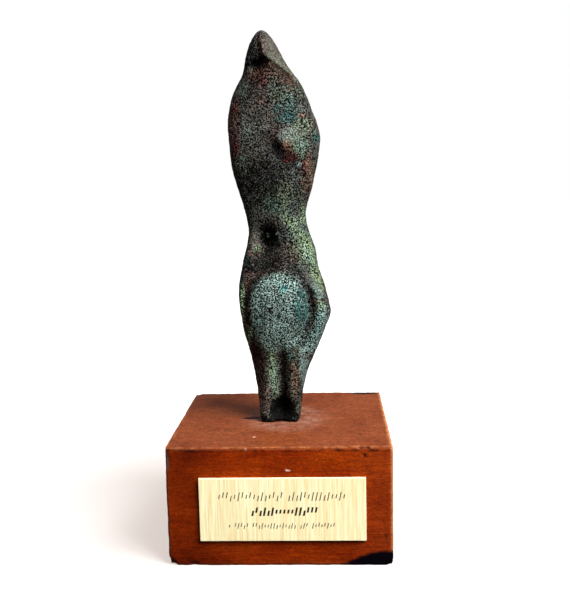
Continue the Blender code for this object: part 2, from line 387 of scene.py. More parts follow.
@dataclass(frozen=True)
class AgedBronze(Finish):
    """Sand-cast bronze under an applied green and brown patina: matt, and grainy like coarse sandpaper.

    The patina is a crust of salts, so it scatters light like a mineral, with a little of the metal's own
    shine. Each patina is broken up at its edges, its grains are light and the pits between them nearly
    black. The real grain is a little finer; it is drawn as coarse as it needs to be to show.
    """

    body: str = "#2a2b28"
    mottle: Cloud = Cloud(size=1.5, detail=4.0, roughness=0.8)
    mottle_span: Span = (0.36, 0.64)
    mottle_strength: Span = (0.3, 1.7)
    grit: Cloud = Cloud(size=0.42, detail=1.0, roughness=0.5)
    grit_span: Span = (0.3, 0.7)
    relief_share: float = 0.03
    grain_cell: float = 0.34
    cell_share: float = 0.15
    soot_and_shade_fill: float = 0.055
    grain_span: Span = (0.465, 0.62)
    grain_light: Span = (0.01, 3.6)
    rubbed_calm: float = 0.6
    pore_pitch: float = 1.7
    pore_depth: float = 0.85
    # pale crystals of the salt, with painted glints among them
    crystal_glint_pitch: float = 1.05
    crystal_glint_shade: str = "#b4c2ba"
    crystal_glint_rest: float = 0.36
    speck_radius: float = 0.19
    hatch_pitch: float = 0.75
    hatch_turn: float = 28.0
    hatch_waver: float = 0.6
    hatch_shade: str = "#6b8660"
    roughness: Span = (0.8, 0.55)
    sheen: float = 0.04
    metal_share: float = 0.1
    bump_height: float = 0.12

    def build(self) -> bpy.types.Material:
        """Make the material, which reads the masks of Patina, the relief and the hatching from the mesh.

        Returns:
            The material.
        """
        material, tree, shader, place = self.start()
        colour, shares = self.lay_patinas(tree, place)
        colour = self.add_hatching(tree, place, colour)
        grit = self.add_cloud(tree, place, self.grit)
        relief = add_node(tree, "Attribute", out="Fac", attribute_name="relief")
        raised = add_node(tree, "Math", (relief, self.relief_share, grit), operation="MULTIPLY_ADD")
        light = self.light_grains(tree, place, raised, shares)
        colour = add_node(tree, "VectorMath", {0: colour, "Scale": light}, operation="SCALE")
        bump = {"Height": raised, "Distance": self.bump_height * MM, "Strength": 1.0}
        looks = {
            "Base Color": self.add_crystal_glints(tree, place, colour, shares),
            "Roughness": add_node(tree, "MapRange", (grit, *self.grit_span, *self.roughness)),
            "Metallic": self.metal_share,
            "Specular IOR Level": self.sheen,
            "Normal": add_node(tree, "Bump", bump),
        }
        set_inputs(shader, looks)
        return material

    def lay_patinas(self, tree: Tree, place: Socket) -> tuple[Socket, dict[Patina, Socket]]:
        """Lay each patina over those before it.

        Args:
            tree: the material's tree.
            place: the place on the piece in millimetres.

        Returns:
            The colour, and how much of each patina there is.
        """
        mottle = self.add_cloud(tree, place, self.mottle, "Color")
        mottles = add_node(tree, "SeparateColor", (mottle,)).node.outputs
        colour = linear(self.body)
        shares = {}
        for number, patina in enumerate(Patina):
            mask = add_node(tree, "Attribute", out="Fac", attribute_name=patina.mask)
            spread = (mottles[number % len(mottles)], *self.mottle_span, *self.mottle_strength)
            broken = add_node(tree, "MapRange", spread)
            share = add_node(tree, "Math", (mask, broken), operation="MULTIPLY", use_clamp=True)
            layers = {SHARE: share, UNDER: colour, OVER: linear(patina.value)}
            colour = add_node(tree, "Mix", layers, MIXED, data_type="RGBA")
            shares[patina] = share
        return colour, shares

    def light_grains(
        self, tree: Tree, place: Socket, raised: Socket, shares: dict[Patina, Socket]
    ) -> Socket:
        """Make the grains light, the pits between them dark and the pores black.

        Args:
            tree: the material's tree.
            place: the place on the piece in millimetres.
            raised: how far the surface stands up, around 0.5.
            shares: how much of each patina there is.

        Returns:
            What the colour is multiplied by.
        """
        # fewer light grains in the soot and in the painted shade
        in_soot_and_shade = (shares[Patina.SOOT_AND_SHADE], -self.soot_and_shade_fill, raised)
        filled = add_node(tree, "Math", in_soot_and_shade, operation="MULTIPLY_ADD")
        cells = add_node(tree, "TexVoronoi", {"Vector": place, "Scale": 1.0 / self.grain_cell}, "Color")
        chance = add_node(tree, "SeparateColor", (cells,), "Green")
        swing = add_node(tree, "Math", (chance, 0.5), operation="SUBTRACT")
        shown = add_node(tree, "Math", (swing, self.cell_share, filled), operation="MULTIPLY_ADD")
        light = add_node(tree, "MapRange", (shown, *self.grain_span, *self.grain_light))
        calm = add_node(tree, "Math", (shares[Patina.RUBBED], self.rubbed_calm), operation="MULTIPLY")
        light = add_node(tree, "Mix", {"Factor": calm, "A": light, "B": 1.0})
        pores = self.add_specks(tree, place, self.pore_pitch, self.speck_radius)
        closed = add_node(tree, "Math", (pores, -self.pore_depth, 1.0), operation="MULTIPLY_ADD")
        return add_node(tree, "Math", (light, closed), operation="MULTIPLY")

    def add_crystal_glints(
        self, tree: Tree, place: Socket, colour: Socket, shares: dict[Patina, Socket]
    ) -> Socket:
        """Scatter pale crystals and painted glints, most of all in the salt and none in the painted shade.

        Args:
            tree: the material's tree.
            place: the place on the piece in millimetres.
            colour: the colour so far.
            shares: how much of each patina there is.

        Returns:
            The colour with the crystals and painted glints.
        """
        salty = (shares[Patina.SALT], 1.0 - self.crystal_glint_rest, self.crystal_glint_rest)
        crust = add_node(tree, "Math", salty, operation="MULTIPLY_ADD")
        in_painted_shade = (shares[Patina.PAINTED_SHADE], -self.crystal_glint_rest, crust)
        crust = add_node(tree, "Math", in_painted_shade, operation="MULTIPLY_ADD", use_clamp=True)
        crystals = self.add_specks(tree, place, self.crystal_glint_pitch, self.speck_radius)
        share = add_node(tree, "Math", (crystals, crust), operation="MULTIPLY")
        layers = {SHARE: share, UNDER: colour, OVER: linear(self.crystal_glint_shade)}
        return add_node(tree, "Mix", layers, MIXED, data_type="RGBA")

    def add_hatching(self, tree: Tree, place: Socket, colour: Socket) -> Socket:
        """Lay pale green salt in the short parallel file marks, where the mesh has its hatching mask.

        The real marks are half as far apart; they are drawn as coarse as they need to be to show.

        Args:
            tree: the material's tree.
            place: the place on the piece in millimetres.
            colour: the colour so far.

        Returns:
            The colour with the marks.
        """
        turn = (0.0, math.radians(self.hatch_turn), 0.0)
        turned = add_node(tree, "Mapping", {"Vector": place, "Rotation": turn})
        scale = math.tau / WAVE_RADIANS / self.hatch_pitch
        wave = {"Vector": turned, "Scale": scale, "Distortion": self.hatch_waver, "Detail": 1.0}
        waves = add_node(tree, "TexWave", wave, "Fac", bands_direction="Z")
        mask = add_node(tree, "Attribute", out="Fac", attribute_name="hatching")
        share = add_node(tree, "Math", (waves, mask), operation="MULTIPLY")
        layers = {SHARE: share, UNDER: colour, OVER: linear(self.hatch_shade)}
        return add_node(tree, "Mix", layers, MIXED, data_type="RGBA")


class WoodMark(Mark):
    """What changes the stain on the block, painted light and shade too, in the order they lie on each other.
    """

    # a greyer stain on the top, and painted light towards the right
    GREYER_TOP_AND_LIT_RIGHT = "#763a1e"
    # a darker stain, with painted shade towards the left and the back of the top; darker towards the bottom
    # too
    DARK = "#4d1102"
    DUST = "#8a6050"
    # rubbed edges, and a painted highlight along the right upright edge
    RUBBED = "#b3744a"
    # bruises and scrapes, and painted shade along the bottom edge and beside the figure's foot
    BRUISE_AND_SHADE = "#180704"
    BURN = "#050208"
    CHIP = "#ecd2ba"


@dataclass(frozen=True)
class StainedHardwood(Finish):
    """Close-grained hardwood, planed and stained red-brown under a thin satin varnish.

    Its fibres run along X, so the top and front show fine level streaks and the two sides show end grain.
    The real fibres and vessels are finer; they are drawn as coarse as they need to be to show.
    """

    deep: str = "#6a1702"
    body: str = "#923505"
    fibre: Cloud = Cloud(size=0.5, detail=4.0, roughness=0.62, squeeze=(0.045, 0.3, 1.0))
    fibre_share: float = 0.5
    fibre_span: Span = (0.3, 0.7)
    fibre_tone: Span = (0.82, 1.18)
    vessel: Cloud = Cloud(size=0.45, detail=1.0, roughness=0.6, squeeze=(0.35, 0.3, 1.0))
    vessel_tone: Span = (0.72, 1.08)
    grit: Cloud = Cloud(size=0.38, detail=1.0, roughness=0.5, squeeze=(1.0, 0.3, 1.0))
    grit_tone: Span = (0.76, 1.24)
    fine_span: Span = (0.32, 0.68)
    figure: Cloud = Cloud(size=8.0, detail=4.0, roughness=0.6, squeeze=(0.4, 1.0, 1.0))
    body_span: Span = (0.52, 1.0)
    dust_pitch: float = 2.2
    dust_radius: float = 0.09
    dust_share: float = 0.5
    dust_shade: str = "#d8b49c"
    varnish: float = 0.05
    roughness: float = 0.46
    bump_height: float = 0.04
    bump_strength: float = 0.6

    def build(self) -> bpy.types.Material:
        """Make the material, which reads the masks of WoodMark from the mesh.

        Returns:
            The material.
        """
        material, tree, shader, place = self.start()
        clouds = (self.fibre, self.vessel, self.grit, self.figure)
        fibres, vessels, grit, figure = (self.add_cloud(tree, place, cloud) for cloud in clouds)
        streaks = add_node(tree, "Math", (fibres, self.fibre_share, figure), operation="MULTIPLY_ADD")
        depth = add_node(tree, "MapRange", (streaks, *self.body_span))
        layers = {SHARE: depth, UNDER: linear(self.deep), OVER: linear(self.body)}
        colour = add_node(tree, "Mix", layers, MIXED, data_type="RGBA")
        masks = {mark: add_node(tree, "Attribute", out="Fac", attribute_name=mark.mask) for mark in WoodMark}
        for mark, mask in masks.items():
            layers = {SHARE: mask, UNDER: colour, OVER: linear(mark.value)}
            colour = add_node(tree, "Mix", layers, MIXED, data_type="RGBA")
        tone = 1.0
        for pattern, span, tones in (
            (fibres, self.fibre_span, self.fibre_tone),
            (vessels, self.fine_span, self.vessel_tone),
            (grit, self.fine_span, self.grit_tone),
        ):
            factor = add_node(tree, "MapRange", (pattern, *span, *tones))
            tone = add_node(tree, "Math", (tone, factor), operation="MULTIPLY")
        streaked = add_node(tree, "VectorMath", {0: colour, "Scale": tone}, operation="SCALE")
        flecks = self.add_specks(tree, place, self.dust_pitch, self.dust_radius)
        for share in (masks[WoodMark.GREYER_TOP_AND_LIT_RIGHT], self.dust_share):
            flecks = add_node(tree, "Math", (flecks, share), operation="MULTIPLY")
        layers = {SHARE: flecks, UNDER: streaked, OVER: linear(self.dust_shade)}
        bump = {"Height": fibres, "Distance": self.bump_height * MM, "Strength": self.bump_strength}
        looks = {
            "Base Color": add_node(tree, "Mix", layers, MIXED, data_type="RGBA"),
            "Roughness": self.roughness,
            "Specular IOR Level": self.varnish,
            "Normal": add_node(tree, "Bump", bump),
        }
        set_inputs(shader, looks)
        return material


@dataclass(frozen=True)
class BrushedBrass(Finish):
    """Sheet brass brushed from top to bottom under a matt clear lacquer, as pale as printed card.

    The lacquer scatters most of the light, so the plate shines evenly and only its fine streaks tell of
    metal. The real streaks are finer; they are drawn as coarse as they need to be to show.
    """

    bright: str = "#fffbd0"
    drawn: str = "#efd69a"
    brush: Cloud = Cloud(size=0.45, detail=4.0, roughness=0.65, squeeze=(1.0, 1.0, 0.03))
    brush_span: Span = (0.35, 0.65)
    metal_share: float = 0.1
    roughness: float = 0.4

    def build(self) -> bpy.types.Material:
        """Make the material, with streaks that run up the plate.

        Returns:
            The material.
        """
        material, tree, shader, place = self.start()
        streaks = self.add_cloud(tree, place, self.brush)
        share = add_node(tree, "MapRange", (streaks, *self.brush_span))
        layers = {SHARE: share, UNDER: linear(self.drawn), OVER: linear(self.bright)}
        colour = add_node(tree, "Mix", layers, MIXED, data_type="RGBA")
        set_inputs(shader, {"Base Color": colour, "Metallic": self.metal_share, "Roughness": self.roughness})
        return material


@dataclass(frozen=True)
class EngravingFill(Finish):
    """Black enamel wiped into the engraving: dark, smooth and a little glossy."""

    shade: str = "#17110a"
    roughness: float = 0.5

    def build(self) -> bpy.types.Material:
        """Make the material.

        Returns:
            The material.
        """
        material, _, shader, _ = self.start()
        set_inputs(shader, {"Base Color": linear(self.shade), "Roughness": self.roughness})
        return material


@dataclass(frozen=True)
class Spot:
    """A soft oval place on the front of the bronze.

    Its turn is in degrees and leans the top of the oval to the left.
    """

    x: float
    height: float
    half_width: float
    half_height: float
    turn: float = 0.0
    soft: float = 0.45

    def cover(self, x: np.ndarray, height: np.ndarray) -> np.ndarray:
        """Tell how much each place belongs to the oval.

        Args:
            x: distances from the centre plane.
            height: heights above the plinth.

        Returns:
            1 inside the oval, falling smoothly to 0 a little outside it.
        """
        turn = math.radians(self.turn)
        across = ((x - self.x) * math.cos(turn) + (height - self.height) * math.sin(turn)) / self.half_width
        up = ((height - self.height) * math.cos(turn) - (x - self.x) * math.sin(turn)) / self.half_height
        return Ramp(SPOT_RIM + self.soft, SPOT_RIM - self.soft).read(self.depth(across, up))

    def depth(self, across: np.ndarray, up: np.ndarray) -> np.ndarray:
        """Tell how far out each place lies, as a share of the oval's own size."""
        return np.hypot(across, up)


@dataclass(frozen=True)
class Dent(Spot):
    """A small bump or, with a negative rise, a dent in the casting."""

    rise: float = -0.3


@dataclass(frozen=True)
class Patch(Spot):
    """A soft patch of one patina."""

    patina: Patina = Patina.RED_BROWN
    strength: float = 1.0


@dataclass(frozen=True)
class Rim(Patch):
    """A patch that lies only along the rim of its oval, within a reach in degrees of its middle."""

    thickness: float = 0.12
    middle: float = 0.0
    reach: float = 60.0

    def depth(self, across: np.ndarray, up: np.ndarray) -> np.ndarray:
        """Tell how far each place lies from the rim.

        Args:
            across: how far it lies across the oval, as a share of the oval's half width.
            up: how far it lies up the oval, as a share of the oval's half height.

        Returns:
            The distance, as a share of the rim's thickness.
        """
        beside = np.abs(np.hypot(across, up) - 1.0) / self.thickness
        angle = np.degrees(np.arctan2(up, across)) - self.middle
        return np.hypot(beside, ((angle + 180.0) % 360.0 - 180.0) / self.reach)


@dataclass(frozen=True)
class Drift:
    """How much of a patina lies everywhere: on the front, behind, and how far that swings."""

    front: float = 0.0
    behind: float = 0.0
    swing: float = 0.0


@dataclass
class BronzeFigure:
    """The cast figure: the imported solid's form, with its grain, worn and pitted places, and patina."""

    merge_gap: float = 0.01
    subdivisions: int = 2
    voxel: float = 0.35
    smoothing: float = 0.5
    smoothing_rounds: int = 3
    grains: Grains = Grains(size=0.95, offset=3.1)
    grain_share: float = 0.5
    fine: Lumps = Lumps(size=0.76, layers=2, offset=7.7)
    fine_share: float = 0.6
    relief_limit: float = 1.2
    grain_rise: float = 0.07
    lumps: Lumps = Lumps(size=3.0, layers=3, offset=1.9)
    lump_rise: float = 0.13
    foot_gap: float = 0.3
    foot_band: Ramp = Ramp(1.0, 0.0)
    rim_bends: tuple[Lumps, Lumps] = (Lumps(2.6, 3, 21.3), Lumps(2.6, 3, 33.9))
    dent_bend: float = 0.3
    patch_bend: float = 0.8
    hatching_bend: float = 0.2
    spots_end: Ramp = Ramp(-0.15, 0.3)
    back_start: Ramp = Ramp(-0.25, 0.35)
    drift_size: float = 12.0
    drift_layers: int = 2
    drift_offset: float = 41.0
    drift_step: float = 11.0
    drifts: dict[Patina, Drift] = field(default_factory=dict)
    dents: tuple[Dent, ...] = ()
    hatching: tuple[Spot, ...] = ()
    patches: tuple[Patch, ...] = ()
    facing_back: np.ndarray = field(init=False)
    wander: list[np.ndarray] = field(init=False)

    def shape(self) -> Piece:
        """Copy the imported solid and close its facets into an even, finer skin.

        Returns:
            The new piece, smooth and ungrained.
        """
        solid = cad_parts["figure"]
        piece = bpy.data.objects.new("bronze_figure", solid.data.copy())
        bpy.context.scene.collection.objects.link(piece)
        open_mesh(piece)
        bpy.ops.mesh.remove_doubles(threshold=self.merge_gap * MM)
        close_mesh()
        apply_modifier(piece, "SUBSURF", levels=self.subdivisions, render_levels=self.subdivisions)
        apply_modifier(piece, "REMESH", mode="VOXEL", voxel_size=self.voxel * MM, use_smooth_shade=True)
        apply_modifier(piece, "SMOOTH", factor=self.smoothing, iterations=self.smoothing_rounds)
        return piece

    def spread(self, piece: Piece, spot: Spot, bend: float) -> np.ndarray:
        """Tell how much each vertex of the front belongs to a spot.

        Args:
            piece: the figure.
            spot: a place on the front.
            bend: how far the spot's rim wanders.

        Returns:
            1 in the middle of the spot, falling smoothly to 0 outside it and behind the figure.
        """
        places = read_points(piece) / MM
        x = places[:, 0] + bend * self.wander[0]
        height = places[:, 2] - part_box("plinth")[1].z / MM + bend * self.wander[1]
        return spot.cover(x, height) * self.spots_end.read(-self.facing_back)

    def grain(self, piece: Piece) -> None:
        """Dent and roughen the skin as a sand mould leaves it, and store the relief for the material.

        Args:
            piece: the smooth piece.
        """
        places = read_points(piece) / MM
        normals = read_normals(piece)
        self.facing_back = normals[:, 1]
        self.wander = [lumps.read(places) for lumps in self.rim_bends]
        relief = self.grain_share * self.grains.read(places) + self.fine_share * self.fine.read(places)
        relief = np.clip(relief, -self.relief_limit, self.relief_limit)
        rise = self.grain_rise * relief + self.lump_rise * self.lumps.read(places)
        for dent in self.dents:
            rise += dent.rise * self.spread(piece, dent, self.dent_bend)
        points = (places + normals * rise[:, None]) * MM
        low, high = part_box("figure")
        points = np.clip(points, np.array(low), np.array(high))
        foot = self.foot_band.read((points[:, 2] - low.z) / MM)
        points[:, 2] -= foot * self.foot_gap * MM
        write_points(piece, points)
        write_mask(piece, "relief", relief)

    def weather(self, piece: Piece) -> None:
        """Lay the patina on as masks: broad drifts all round, and the patches of the front.

        Args:
            piece: the grained piece.
        """
        places = read_points(piece) / MM
        back = self.back_start.read(self.facing_back)
        for number, patina in enumerate(Patina):
            drift = self.drifts.get(patina, Drift())
            mask = drift.front + (drift.behind - drift.front) * back
            if drift.swing:
                offset = self.drift_offset + self.drift_step * number
                mask = mask + drift.swing * Lumps(self.drift_size, self.drift_layers, offset).read(places)
            mask = np.clip(mask, 0.0, 1.0)
            for patch in (p for p in self.patches if p.patina is patina):
                mask = mask + (patch.strength - mask) * self.spread(piece, patch, self.patch_bend)
            write_mask(piece, patina.mask, mask)
        hatching = [self.spread(piece, spot, self.hatching_bend) for spot in self.hatching]
        write_mask(piece, "hatching", np.max(hatching, axis=0))

    def build(self) -> Piece:
        """Shape, grain, weather and dress the figure.

        Returns:
            The finished piece.
        """
        piece = self.shape()
        self.grain(piece)
        self.weather(piece)
        piece.data.materials.clear()
        piece.data.materials.append(AgedBronze("aged_bronze").build())
        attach(piece, "root")
        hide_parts("figure")
        return piece


@dataclass(frozen=True)
class Nick:
    """A chip, bruise or rounded corner of the block, as a soft ellipsoid."""

    place: Triple
    reach: Triple
    depth: float
    mark: WoodMark | None = None
    strength: float = 1.0
    rim: Ramp = Ramp(1.2, 0.5)

    def cover(self, places: np.ndarray) -> np.ndarray:
        """Tell how much each place belongs to the nick, from 1 in its middle to 0 outside."""
        return self.rim.read(np.linalg.norm((places - self.place) / np.array(self.reach), axis=1))


@dataclass(frozen=True)
class Blend:
    """A level that swings with the ragged, the broad and the streaky pattern of the block."""

    level: float = 0.0
    ragged: float = 0.0
    broad: float = 0.0
    streaky: float = 0.0

    def read(self, ragged: np.ndarray, broad: np.ndarray, streaky: np.ndarray) -> np.ndarray:
        """Read the blend at every place, from the three patterns there."""
        return self.level + self.ragged * ragged + self.broad * broad + self.streaky * streaky


@dataclass
class HardwoodPlinth:
    """The square block: eased edges, worn corners, small nicks, and a burn at its lower right.

    A ramp whose name ends in band is read from the distance to a face or an edge, and the other ramps from a
    place along X, Y or Z.
    """

    side_edge: float = 0.7
    level_edge: float = 0.35
    edge_segments: int = 2
    sharp_angle: float = 60.0
    smooth_angle: float = 40.0
    rim: float = 1.0
    cuts: tuple[int, int] = (10, 9)
    edge_wear: float = 0.16
    wear_band: Ramp = Ramp(1.6, 0.3)
    wear_level: float = 0.4
    wear_lumps: Lumps = Lumps(size=4.0, layers=3, offset=9.0)
    ragged: Lumps = Lumps(size=2.5, layers=3, offset=5.0)
    broad: Lumps = Lumps(size=16.0, layers=3, offset=15.0)
    streaky: Lumps = Lumps(size=2.0, layers=3, offset=25.0)
    streak_squeeze: Triple = (0.12, 1.0, 1.0)
    top_band: Ramp = Ramp(-0.6, -0.1)
    # painted light towards the right and painted shade towards the left of the sides and the back of the top
    painted_light_right_tint: Ramp = Ramp(18.0, 32.0, 0.14)
    painted_shade_left: Ramp = Ramp(-14.0, -33.0, 0.35)
    dark_below: Ramp = Ramp(12.0, 2.0, 0.3)
    painted_light_right: Ramp = Ramp(18.0, 32.0, 0.35)
    painted_shade_back: Ramp = Ramp(-10.0, 30.0, 0.08)
    dark_sides: Blend = Blend(broad=0.45)
    dark_top: Blend = Blend(level=0.02, broad=0.4)
    foot_middle: Span = (1.0, -1.0)
    foot_depth_share: float = 0.8
    dust_band: Ramp = Ramp(17.0, 9.0)
    dust: Blend = Blend(level=0.5, ragged=0.6, streaky=0.3)
    rubbed_band: Ramp = Ramp(1.5, 0.5)
    # a painted highlight along the right upright edge
    painted_highlight_right_band: Ramp = Ramp(0.9, 0.3, 0.75)
    rubbed_right: float = 0.1
    rubbed_left: float = 0.05
    rubbed_top: Blend = Blend(level=0.1, ragged=0.35)
    front_band: Ramp = Ramp(0.8, 0.2)
    scrape_band: Ramp = Ramp(0.6, 0.2)
    scrape_drop: float = 1.0
    scrape: Blend = Blend(level=0.35, ragged=0.8)
    # painted shade along the bottom edge, where the block meets the floor
    bottom_shade_band: Ramp = Ramp(1.1, 0.3)
    bottom_shade: Blend = Blend(level=0.35, ragged=0.5)
    burn_top: float = 4.8
    burn_middle: float = 34.0
    burn_curve: float = 0.0215
    burn_side_curve: float = 0.13
    burn_ragged: float = 0.5
    burn_band: Ramp = Ramp(0.7, -0.5)
    nicks: tuple[Nick, ...] = ()

    def build(self) -> Piece:
        """Shape, wear and dress the block.

        Returns:
            The finished piece.
        """
        low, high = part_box("plinth")
        piece = add_block("hardwood_plinth", low, high)
        self.divide(piece)
        self.ease(piece, self.level_edge, upright=False)
        self.ease(piece, self.side_edge, upright=True)
        masks = self.stain(piece)
        self.wear(piece, masks)
        for mark in WoodMark:
            write_mask(piece, mark.mask, np.clip(masks[mark], 0.0, 1.0))
        piece.data.materials.append(StainedHardwood("stained_hardwood").build())
        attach(piece, "root")
        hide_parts("plinth")
        return piece

    def divide(self, piece: Piece) -> None:
        """Divide the block's faces into an even grid, with a wider row along each edge for its rounding.

        Args:
            piece: the block.
        """
        open_mesh(piece)
        for cuts in self.cuts:
            bpy.ops.mesh.subdivide(number_cuts=cuts)
        close_mesh()
        low, high = (np.array(corner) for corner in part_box("plinth"))
        rim = self.rim * MM
        step = 1.0 / math.prod(cuts + 1 for cuts in self.cuts)
        share = (read_points(piece) - low) / (high - low)
        inner = low + rim + (share - step) / (1.0 - 2.0 * step) * (high - low - 2.0 * rim)
        points = np.where(share < 0.5 * step, low, np.where(share > 1.0 - 0.5 * step, high, inner))
        write_points(piece, points)

    def ease(self, piece: Piece, width: float, upright: bool) -> None:
        """Round over the block's four upright edges, or its eight level ones.

        Args:
            piece: the block.
            width: how wide the rounding is.
            upright: whether the upright edges are meant.
        """
        open_mesh(piece, "DESELECT")
        bpy.ops.mesh.select_mode(type="EDGE")
        bpy.ops.mesh.edges_select_sharp(sharpness=math.radians(self.sharp_angle))
        close_mesh()
        points = piece.data.vertices
        for edge in piece.data.edges:
            start, end = (points[number].co for number in edge.vertices)
            edge.select = edge.select and (abs(end.z - start.z) > 0.5 * (end - start).length) == upright
        bpy.ops.object.mode_set(mode="EDIT")
        bpy.ops.mesh.bevel(offset=width * MM, segments=self.edge_segments, affect="EDGES")
        close_mesh()
        bpy.ops.object.shade_smooth_by_angle(angle=math.radians(self.smooth_angle))

    def edge_distance(self, places: np.ndarray) -> np.ndarray:
        """Tell how far each place on the block's faces lies from the nearest edge.

        Args:
            places: an array of places.

        Returns:
            The distances.
        """
        low, high = (np.array(corner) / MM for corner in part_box("plinth"))
        inset = np.minimum(places - low, high - places)
        inset.sort(axis=1)
        return inset[:, 1]

    def stain(self, piece: Piece) -> dict[WoodMark, np.ndarray]:
        """Work out where the stain is greyer, dark, dusty, rubbed, bruised, burnt, painted lit and shaded.

        Args:
            piece: the block.

        Returns:
            One mask for each mark.
        """
        places = read_points(piece) / MM
        low, high = (np.array(corner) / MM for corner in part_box("plinth"))
        x, y, z = places.T
        ragged = self.ragged.read(places)
        patterns = (ragged, self.broad.read(places), self.streaky.read(places * self.streak_squeeze))
        top = self.top_band.read(z - high[2])
        # painted shade on the left and painted light on the right, darker towards the bottom
        sides_dark_and_shade = self.painted_shade_left.read(x) + self.dark_below.read(z) - self.painted_light_right.read(x)
        sides_dark_and_shade = sides_dark_and_shade + self.dark_sides.read(*patterns)
        # painted shade towards the back of the top
        top_dark_and_shade = self.painted_shade_back.read(y) + self.dark_top.read(*patterns)
        foot_distance = np.hypot(x - self.foot_middle[0], (y - self.foot_middle[1]) * self.foot_depth_share)
        # rubbed edges, with a painted highlight along the right upright edge
        right_rubbed_and_highlight = self.painted_highlight_right_band.read(high[0] - x) + self.rubbed_right
        rubbed = np.where(x > 0.0, right_rubbed_and_highlight, self.rubbed_left) + top * self.rubbed_top.read(*patterns)
        from_scrape = np.abs(z - high[2] + self.scrape_drop)
        scraped = self.front_band.read(y - low[1]) * self.scrape_band.read(from_scrape)
        return {
            WoodMark.GREYER_TOP_AND_LIT_RIGHT: np.maximum(top, self.painted_light_right_tint.read(x)),
            WoodMark.DARK: (1.0 - top) * sides_dark_and_shade + top * top_dark_and_shade,
            WoodMark.DUST: top * self.dust_band.read(foot_distance) * self.dust.read(*patterns),
            WoodMark.RUBBED: self.rubbed_band.read(self.edge_distance(places)) * rubbed,
            # along the bottom edge this mask is painted shade
            WoodMark.BRUISE_AND_SHADE: scraped * self.scrape.read(*patterns)
            + self.bottom_shade_band.read(z - low[2]) * self.bottom_shade.read(*patterns),
            WoodMark.BURN: self.burn(places, ragged),
            WoodMark.CHIP: np.zeros(len(places)),
        }

    def burn(self, places: np.ndarray, ragged: np.ndarray) -> np.ndarray:
        """Work out the scorch round the front right corner, which is highest at the corner and falls off.

        Args:
            places: the block's vertices.
            ragged: the ragged pattern there.

        Returns:
            How burnt each place is.
        """
        x, y, z = places.T
        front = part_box("plinth")[0].y / MM
        top = (
            self.burn_top
            - self.burn_curve * np.clip(self.burn_middle - x, 0.0, None) ** 2
            - self.burn_side_curve * (y - front) ** 2
            + self.burn_ragged * ragged
        )
        return (x > 0.0) * (y < 0.0) * self.burn_band.read(z - top)

    def wear(self, piece: Piece, masks: dict[WoodMark, np.ndarray]) -> None:
        """Wear the edges a little and press in the nicks, which leave their marks.

        Args:
            piece: the block.
            masks: the masks, which the nicks add to.
        """
        places = read_points(piece) / MM
        normals = read_normals(piece)
        near_edge = self.wear_band.read(self.edge_distance(places))
        worn = np.clip(self.wear_level + self.wear_lumps.read(places), 0.0, 1.0)
        sink = self.edge_wear * near_edge * worn
        for nick in self.nicks:
            cover = nick.cover(places)
            sink += nick.depth * cover
            if nick.mark:
                masks[nick.mark] = np.maximum(masks[nick.mark], nick.strength * cover)
        write_points(piece, (places - normals * sink[:, None]) * MM)


class Stroke(Enum):
    """The strokes of a row, as (height, lift of the middle, lean) in shares of the row's height."""

    LONG = (0.95, 0.0, 0.2)
    LOW = (0.62, -0.19, 0.13)
    HIGH = (0.62, 0.19, 0.13)
    MIDDLE = (0.45, 0.0, 0.1)


@dataclass(frozen=True)
class StrokeRow:
    """One row of engraved strokes, placed from the top and the middle of the plaque."""

    down: float
    shift: float
    height: float
    line: float
    pitch: float
    groups: tuple[int, ...]


